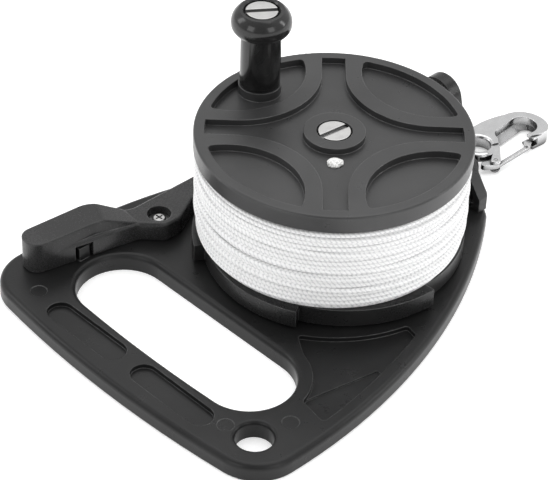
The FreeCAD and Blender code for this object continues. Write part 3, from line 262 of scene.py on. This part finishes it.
def moulded_plastic(name, shade, roughness, pebble_depth, scuffs=0.5, shine=0.3, corner_round=0.0005):
    """Plastic with a pebbled skin, faint flow marks, fine scratches, worn patches, a painted glint on the
    pebbles and a painted highlight on its corners.
    """
    made, paint = new_material(name)
    place = paint.coordinates()
    pebble = paint.speckle(place, pebbles_per_metre, 3.0, Roughness=0.65)
    flow = paint.speckle(place, flow_per_metre, 3.0, Distortion=0.6)
    rub = paint.speckle(place, rubs_per_metre, 5.0, Roughness=0.7)
    stretched = paint.node("ShaderNodeMapping", {},
                           {"Vector": place, "Scale": scratch_grain, "Rotation": scratch_turn})
    scratch = paint.speckle(stretched, 1.0, 2.0).between(0.66, 0.74) * scuffs
    worn = rub.between(0.55, 0.72) * (0.16 * scuffs)

    rounded = paint.rounded(corner_round)
    facing = paint.node("ShaderNodeNewGeometry", {}, {}, "Normal")
    agree = paint.node("ShaderNodeVectorMath", {"operation": "DOT_PRODUCT"},
                       {0: rounded, 1: facing}, "Value")
    # Painted highlight: where the rounded normals turn away from the faces, at outer and inner corners
    # alike, the colour is lightened in patches and the skin made glossier.
    corner = (1.0 - agree).between(0.004, 0.14) * (0.35 + 0.65 * rub.between(0.40, 0.60))

    body = flow.between(0.3, 0.7).blend(shaded(shade, 0.80), shaded(shade, 1.20))
    # Painted glint on the tops of the pebbles, together with the worn patches, which are real wear; both go
    # lighter.
    glint_and_wear = (pebble.between(0.60, 0.78) * 0.35 + worn).blend(body, shaded(shade, 2.6))
    skin = (pebble + 0.15 * flow - 0.25 * scratch).bump(0.6, pebble_depth, Normal=rounded)
    dullness = roughness + 0.16 * (pebble - 0.5) + 0.10 * (flow - 0.5) - worn - 0.12 * corner
    finish_material(paint, Base_Color=(corner * edge_highlight_share).blend(glint_and_wear, edge_highlight_colour),
                    Roughness=dullness, Specular_IOR_Level=shine, Normal=skin)
    return made


dress(["frame_plate"],
      moulded_plastic("black_nylon", plate_shade, roughness=0.32, pebble_depth=0.00006, shine=0.26))


# Two thread inserts of brass are pressed into the axle post and the crank boss. Their marks are
# those of a bar lathe, and what lies deep in a hole is painted darker as shade.
wear_per_metre = 260.0
hollow_reach = 0.006
brass_light = (0.74, 0.55, 0.26)
brass_dark = (0.58, 0.41, 0.18)


def worked_metal(name, light, dark, roughness, marks_per_metre, mark_depth=0.00001, edge_round=0.00015,
                 hollow_shade=(0.25, 0.25, 0.25)):
    """Turned, drawn or cast metal: fine marks, small differences in polish, and hollows painted dark as
    shade.
    """
    made, paint = new_material(name)
    place = paint.coordinates()
    wear = paint.speckle(place, wear_per_metre, 4.0)
    marks = paint.speckle(place, marks_per_metre, 3.0)
    skin = (marks + 0.3 * wear).bump(0.4, mark_depth, Normal=paint.rounded(edge_round))
    polish = (wear * 0.7 + marks * 0.3).between(0.35, 0.65).blend(dark, light)
    # Painted shade: where ambient occlusion finds the surface closed in, the colour goes over to the hollow
    # shade.
    open_sky = paint.node("ShaderNodeAmbientOcclusion", {"samples": 8}, {"Distance": hollow_reach}, "AO")
    finish_material(paint, Base_Color=open_sky.between(0.50, 1.0).blend(hollow_shade, polish), Metallic=1.0,
                    Roughness=roughness + 0.10 * (wear - 0.5) + 0.14 * (marks - 0.5), Normal=skin)
    return made


dress(["axle_insert", "crank_insert"],
      worked_metal("brass", brass_light, brass_dark, roughness=0.32, marks_per_metre=3000.0))


# The two bushes and the thrust washer that the spool turns on are natural acetal, turned from rod
# and pressed in place.
acetal_shade = (0.62, 0.60, 0.55)

dress(["thrust_washer", "lower_bush", "upper_bush"],
      moulded_plastic("pale_acetal", acetal_shade, roughness=0.38, pebble_depth=0.00002, scuffs=0.1))


# The drum and the toothed lower flange are one nylon moulding, open from below between its ribs.
# The wall that guides the line is moulded from the same batch and screwed to the frame.
drum_shade = (0.014, 0.014, 0.0142)

dress(["spool_drum", "line_guide"],
      moulded_plastic("spool_nylon", drum_shade, roughness=0.30, pebble_depth=0.00006, shine=0.36))


# The upper flange carries the star and the four pockets. Its skin is finer and a little greyer than
# the frame's.
flange_shade = (0.034, 0.034, 0.0345)

dress(["spool_flange"],
      moulded_plastic("flange_nylon", flange_shade, roughness=0.34, pebble_depth=0.00004, shine=0.52))


# Screws, washers and the crank's sleeve are nickel plated steel with a satin face. The axle bolt and
# the crank screw have flat heads with a wide driver slot, and stand as they were last driven home.
nickel_light = (0.60, 0.595, 0.585)
nickel_dark = (0.55, 0.545, 0.54)
slot_width = 0.0019
slot_depth = 0.0011
rim_break = 0.00022
rim_steps = 40
shank_steps = 48
shank_sunk = 0.0001

plated = worked_metal("nickel_plate", nickel_light, nickel_dark, roughness=0.36, marks_per_metre=2600.0)
dress(["case_screws", "axle_washer", "crank_sleeve", "guide_screws", "lever_screw", "lever_washer"], plated)


def pull(shape, faces, rise):
    """Extrude faces straight up or down."""
    grown = bmesh.ops.extrude_face_region(shape, geom=faces)["geom"]
    moved = [part for part in grown if isinstance(part, bmesh.types.BMVert)]
    bmesh.ops.translate(shape, vec=(0, 0, rise), verts=moved)


def slotted_screw(name, node, body, head_height, shank_radius, turn_deg):
    """A screw in the place of a CAD screw: two lands with the driver slot between them, on a shank."""
    low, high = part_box(node)
    radius = (high.x - low.x) / 2
    half_slot = math.asin(slot_width / 2 / radius)
    shape = bmesh.new()
    for start in (half_slot, math.pi + half_slot):
        corner = shape.verts.new((radius * math.cos(start), radius * math.sin(start), high.z - slot_depth))
        bmesh.ops.spin(shape, geom=[corner], cent=(0, 0, 0), axis=(0, 0, 1), dvec=(0, 0, 0),
                       angle=math.pi - 2 * half_slot, steps=rim_steps, use_merge=False, use_duplicate=False)
    rim = shape.verts[:]
    lands = [shape.faces.new(rim[:rim_steps + 1]), shape.faces.new(rim[rim_steps + 1:])]
    shape.faces.new((rim[0], rim[rim_steps], rim[rim_steps + 1], rim[-1]))
    pull(shape, shape.faces[:], slot_depth - head_height)
    for land in lands:
        pull(shape, [land], slot_depth)
    half_up = high.z - slot_depth / 2
    rims = [edge for edge in shape.edges if min(vert.co.z for vert in edge.verts) > half_up]
    bmesh.ops.bevel(shape, geom=rims, offset=rim_break, affect="EDGES", segments=2, profile=0.5,
                    material=-1)

    shank_top = high.z - head_height + shank_sunk
    bmesh.ops.create_cone(shape, cap_ends=True, segments=shank_steps, radius1=shank_radius,
                          radius2=shank_radius, depth=shank_top - low.z,
                          matrix=Matrix.Translation((0, 0, (shank_top + low.z) / 2)))
    bmesh.ops.recalc_face_normals(shape, faces=shape.faces)
    place = Matrix.Translation(((low.x + high.x) / 2, (low.y + high.y) / 2, 0))
    shape.transform(place @ Matrix.Rotation(math.radians(turn_deg), 4, "Z"))
    screw = piece_from(name, shape)
    screw.data.materials.append(plated)
    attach(screw, body)
    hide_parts(node)


slotted_screw("axle_bolt_slotted", "axle_bolt", "frame",
              head_height=0.0022, shank_radius=0.0025, turn_deg=-7.0)
slotted_screw("crank_screw_slotted", "crank_screw", "spool",
              head_height=0.0019, shank_radius=0.0020, turn_deg=-35.5)


# The line is white braided polyester. It is wound on by hand, so its rows lie close but wander,
# and the last turns run down across the others, each resting on the rows that it crosses.
line_width = 0.0019
winding_low, winding_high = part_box("line_winding")
row_radius = winding_high.x - line_width / 2
row_pitch = 0.00195
row_sink = 0.52
cross_turns = 5
cross_reach = 0.86
cross_sway = 0.0013
cross_swing = 9.0
cross_rest = 0.50
slow_wander = 0.00042
slow_per_turn = 1.7
quick_wander = 0.00020
quick_per_turn = 6.1
row_dent = 0.00012
dents_per_turn = 2.3
points_per_turn = 96
easing = 9
stitch_length = 0.0017
stitch_rows = 4.0
stitch_slant = 0.62
stitch_depth = 0.00016
fluff_per_metre = 5200.0
drift_per_metre = 420.0
# The valleys between stitches are painted darker, as shade.
braid_valley_shade = (0.70, 0.70, 0.71)
braid_light = (0.95, 0.95, 0.95)


def smooth_line(name, points, roundness):
    """The round line through points, as a mesh with its own UV map along and round it."""
    curve = bpy.data.curves.new(name, "CURVE")
    curve.dimensions = "3D"
    curve.bevel_depth = line_width / 2
    curve.bevel_resolution = roundness
    curve.use_fill_caps = True
    spline = curve.splines.new("POLY")
    spline.points.add(len(points) - 1)
    for place, point in zip(spline.points, points):
        place.co = (*point, 1.0)
    holder = bpy.data.objects.new(name, curve)
    bpy.context.scene.collection.objects.link(holder)
    bpy.context.view_layer.update()
    mesh = bpy.data.meshes.new_from_object(holder)
    bpy.data.objects.remove(holder)
    mesh.polygons.foreach_set("use_smooth", [True] * len(mesh.polygons))
    made = bpy.data.objects.new(name, mesh)
    bpy.context.scene.collection.objects.link(made)
    return made


def wound_points():
    """Path of the outer turns: up in close rows, then down across them."""
    low = winding_low.z + line_width * row_sink
    high = winding_high.z - line_width * row_sink
    up_count = int((high - low) / row_pitch) * points_per_turn
    count = up_count + cross_turns * points_per_turn
    heights = np.empty(count)
    radii = np.empty(count)
    for k in range(count):
        turn = k / points_per_turn
        wander = slow_wander * noise.noise(Vector((turn * slow_per_turn, 3.1, 0.4)))
        wander += quick_wander * noise.noise(Vector((turn * quick_per_turn, 9.2, 5.0)))
        if k < up_count:
            rise = low + (high - low) * k / up_count
        else:
            down = (k - up_count) / (count - up_count)
            rise = high - (high - low) * cross_reach * down + cross_sway * math.sin(down * cross_swing)
        heights[k] = min(max(rise + wander, low), high)
        radii[k] = row_radius + row_dent * noise.noise(Vector((turn * dents_per_turn, 7.7, 1.0)))
        if k >= up_count:
            for under in range(k - points_per_turn, -1, -points_per_turn):
                gap = abs(heights[k] - heights[under])
                if gap < line_width:
                    lift = math.sqrt(line_width ** 2 - gap ** 2) * cross_rest
                    radii[k] = max(radii[k], radii[under] + lift)
    half = easing // 2
    padded = np.concatenate([radii[:half][::-1], radii, radii[-half:][::-1]])
    radii = np.convolve(padded, np.ones(easing) / easing, mode="valid")
    turns = np.arange(count) * 2 * math.pi / points_per_turn
    return np.stack([radii * np.cos(turns), radii * np.sin(turns), heights], axis=1)


def braid(name, points):
    """White braid along a path: slanted stitches that turn back round the line, like rows of chevrons, with
    painted shade in the valleys between stitches.
    """
    length = float(np.sum(np.linalg.norm(np.diff(np.array(points), axis=0), axis=1)))
    made, paint = new_material(name)
    place = paint.coordinates()
    surface = paint.node("ShaderNodeUVMap", {"uv_map": "UVMap"}, {})
    along = paint.node("ShaderNodeSeparateXYZ", {}, {0: surface}, "X") * (length / stitch_length)
    round_it = paint.node("ShaderNodeSeparateXYZ", {}, {0: surface}, "Y") * stitch_rows
    strip = paint.math("PINGPONG", round_it, 1.0)
    fluff = paint.speckle(place, fluff_per_metre, 3.0)
    drift = paint.speckle(place, drift_per_metre, 2.0)
    stitch = paint.math("SINE", (along + strip * stitch_slant + drift * 0.5) * (2 * math.pi))
    ridge = paint.math("SINE", strip * math.pi)
    relief = (stitch * 0.5 + ridge * 0.35 + fluff * 0.35).bump(0.8, stitch_depth)
    # Painted shade: the valleys between stitches and between strands go darker, the crowns stay white.
    crown = (stitch * 0.5 + ridge * 0.4 + fluff * 0.5).between(-0.25, 0.55)
    finish_material(paint, Base_Color=crown.blend(braid_valley_shade, braid_light), Roughness=0.8, Normal=relief)
    return made


rows = wound_points()
winding = smooth_line("line_turns", rows, roundness=3)
winding.data.materials.append(braid("wound_braid", rows))
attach(winding, "spool")
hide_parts("line_winding")


# The rows under them fill the drum. They show only between the outer ones, so they are one ring
# round the drum, and its outer side is scalloped to the pitch of the rows.
core_low, core_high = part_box("line_core")
core_hole = 0.0222
scallop = 0.0002
points_per_row = 6
core_steps = 128
weave_per_metre = 900.0
weave_depth = 0.0002
packed_dark = (0.62, 0.62, 0.63)
packed_light = (0.92, 0.92, 0.92)

core = bmesh.new()
profile_count = int((core_high.z - core_low.z) / row_pitch) * points_per_row
profile = []
for k in range(profile_count + 1):
    wave = abs(math.sin(math.pi * k / points_per_row)) - 0.5
    profile.append(core.verts.new((core_high.x + scallop * wave, 0,
                                   core_low.z + (core_high.z - core_low.z) * k / profile_count)))
profile.append(core.verts.new((core_hole, 0, core_high.z)))
profile.append(core.verts.new((core_hole, 0, core_low.z)))
edges = [core.edges.new((profile[k - 1], profile[k])) for k in range(len(profile))]
bmesh.ops.spin(core, geom=profile + edges, cent=(0, 0, 0), axis=(0, 0, 1), dvec=(0, 0, 0),
               angle=2 * math.pi, steps=core_steps, use_merge=True, use_duplicate=False)
bmesh.ops.recalc_face_normals(core, faces=core.faces)
under = piece_from("line_under", core)

packed, paint = new_material("packed_braid")
weave = paint.speckle(paint.coordinates(), weave_per_metre, 4.0)
finish_material(paint, Base_Color=weave.between(0.35, 0.6).blend(packed_dark, packed_light),
                Roughness=0.85, Normal=weave.bump(0.8, weave_depth))
under.data.materials.append(packed)
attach(under, "spool")
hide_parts("line_core")


# The inner end of the line comes up through its hole in the upper flange and is melted into a lump:
# two lobes that have run together, with a crust where they cooled.
knot_low, knot_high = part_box("line_end_knot")
knot_raise = 0.0005
knot_place = (knot_low + knot_high) / 2 + Vector((0, 0, knot_raise))
lobe_size = Vector((0.0025, 0.0025, 0.0018))
lobes = (((-0.00035, 0.0003, 0.00025), 1.0), ((0.0009, -0.0006, 0.0004), 0.74))
lobe_apart = 900
wide_swell = 0.13
wide_per_radius = 1.7
narrow_swell = 0.05
narrow_per_radius = 5.1
crust_per_metre = 1300.0
crust_depth = 0.00025
crust_dark = (0.60, 0.60, 0.58)
crust_light = (0.95, 0.95, 0.94)

lump = bmesh.new()
for shift, share in lobes:
    for vert in bmesh.ops.create_icosphere(lump, subdivisions=5, radius=1.0)["verts"]:
        swell = (1 + wide_swell * noise.noise(vert.co * wide_per_radius + Vector(shift) * lobe_apart)
                 + narrow_swell * noise.noise(vert.co * narrow_per_radius))
        vert.co = vert.co * lobe_size * (swell * share) + Vector(shift) + knot_place
knot = piece_from("line_lump", lump)
knot.data.polygons.foreach_set("use_smooth", [True] * len(knot.data.polygons))

melted, paint = new_material("melted_line")
crust = paint.speckle(paint.coordinates(), crust_per_metre, 4.0)
finish_material(paint, Base_Color=crust.between(0.36, 0.56).blend(crust_dark, crust_light),
                Roughness=0.45 + 0.2 * (crust - 0.5), Coat_Weight=0.2, Normal=crust.bump(0.7, crust_depth))
knot.data.materials.append(melted)
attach(knot, "spool")
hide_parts("line_end_knot")


# From the winding the line leaves along its tangent and goes into the hole of the guide. It is the
# same braid, and it hangs there by the hold of its two ends, so it isn't a loose cord.
run_route = [(0.04955, -0.01157, 0.0334), (0.0506, -0.0072, 0.0334), (0.0521, 0.0, 0.0334),
             (0.0544, 0.0, 0.0334), (0.0568, 0.0, 0.0334)]
route_steps = 12


def drawn_line(route):
    """Points along a smooth spline that follows the route."""
    curve = bpy.data.curves.new("route", "CURVE")
    curve.dimensions = "3D"
    curve.resolution_u = route_steps
    spline = curve.splines.new("NURBS")
    spline.points.add(len(route) - 1)
    for place, point in zip(spline.points, route):
        place.co = (*point, 1.0)
    spline.order_u = 3
    spline.use_endpoint_u = True
    holder = bpy.data.objects.new("route", curve)
    bpy.context.scene.collection.objects.link(holder)
    bpy.context.view_layer.update()
    mesh = bpy.data.meshes.new_from_object(holder)
    found = [Vector(vert.co) for vert in mesh.vertices]
    bpy.data.objects.remove(holder)
    return found


run_points = drawn_line(run_route)
run = smooth_line("line_to_guide", run_points, roundness=5)
run.data.materials.append(braid("run_braid", run_points))
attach(run, "frame")
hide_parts("line_run")


# The end of the line drops from the guide to the snap, where it is tied round the ring of the eye
# with a wrapped knot. Its loop and the wraps of the knot are the same braid.
tether_route = [(0.05805, 0.0, 0.0334), (0.0626, 0.0002, 0.0334), (0.06705, 0.0006, 0.0331),
                (0.0742, 0.0043, 0.0241), (0.08124, 0.00795, 0.01483), (0.0832, 0.00875, 0.0118),
                (0.08424, 0.00915, 0.0100)]
tie_place = Vector((0.08424, 0.00915, 0.00425))
tie_out = Vector((-0.76604, 0.64279, 0.0))
loop_reach = 0.0032
loop_steps = 40
loop_start = math.radians(100)
wrap_reach = 0.00135
wrap_turns = 3
wrap_steps = 24
wrap_low = 0.0072
wrap_high = 0.0104

wraps = []
for k in range(wrap_turns * wrap_steps + 1):
    turn = 2 * math.pi * k / wrap_steps
    height = wrap_high + (wrap_low - wrap_high) * k / (wrap_turns * wrap_steps) - tie_place.z
    wraps.append(tie_place + Vector((wrap_reach * math.cos(turn), wrap_reach * math.sin(turn), height)))
loop = []
for k in range(loop_steps + 1):
    turn = loop_start + 2 * math.pi * k / loop_steps
    loop.append(tie_place + tie_out * (loop_reach * math.cos(turn))
                + Vector((0, 0, loop_reach * math.sin(turn))))

for name, points in (("line_tether", drawn_line(tether_route)), ("line_wraps", wraps), ("line_loop", loop)):
    stretch = smooth_line(name, points, roundness=5)
    stretch.data.materials.append(braid(name + "_braid", points))
    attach(stretch, "line_leader")
    if name == "line_tether":
        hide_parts("line_leader")


# The crank knob is turned from black acetal and polished. It spins on a steel sleeve that a slotted
# screw holds, and its skin shows only the finest lines of the lathe.
lathe_grain = (60.0, 60.0, 2600.0)
smears_per_metre = 120.0
lathe_depth = 0.00002
knob_round = 0.0003
knob_dark = (0.010, 0.010, 0.010)
knob_light = (0.018, 0.018, 0.018)

gloss, paint = new_material("polished_acetal")
place = paint.coordinates()
squeezed = paint.node("ShaderNodeMapping", {}, {"Vector": place, "Scale": lathe_grain})
lathe = paint.speckle(squeezed, 1.0, 3.0)
smear = paint.speckle(place, smears_per_metre, 4.0)
finish_material(paint, Base_Color=smear.between(0.3, 0.7).blend(knob_dark, knob_light),
                Roughness=0.17 + 0.10 * (smear - 0.5) + 0.05 * (lathe - 0.5), Specular_IOR_Level=0.5,
                Normal=lathe.bump(0.3, lathe_depth, Normal=paint.rounded(knob_round)))
dress(["crank_knob"], gloss)


# The thumb lever is moulded in the frame's nylon. The thumb has rubbed its block smoother than the
# rest, so it has more scuffs and less grain.
lever_shade = (0.024, 0.024, 0.0243)

dress(["thumb_lever"],
      moulded_plastic("lever_nylon", lever_shade, roughness=0.27, pebble_depth=0.00003, scuffs=0.9,
                      shine=0.38, corner_round=0.0008))


# The lever's spring and the pin of the gate are drawn stainless wire. The spring is bent cold and
# the pin is cut to length, so both keep the fine marks of the die.
wire_light = (0.62, 0.62, 0.62)
wire_dark = (0.45, 0.45, 0.45)

dress(["lever_spring", "gate_pin"],
      worked_metal("drawn_wire", wire_light, wire_dark, roughness=0.25, marks_per_metre=3000.0))


# The snap is cast stainless steel, tumbled until it is bright, so the casting's skin is gone from
# its edges, and its hollows are painted dark as shade. Its gate is cut from strip.
cast_light = (0.66, 0.66, 0.665)
cast_dark = (0.61, 0.61, 0.615)
# The colour of the painted shade in the snap's hollows.
cast_hollow_shade = (0.10, 0.10, 0.10)

dress(["snap_body", "snap_gate"],
      worked_metal("cast_stainless", cast_light, cast_dark, roughness=0.20, marks_per_metre=2400.0,
                   edge_round=0.0004, hollow_shade=cast_hollow_shade))
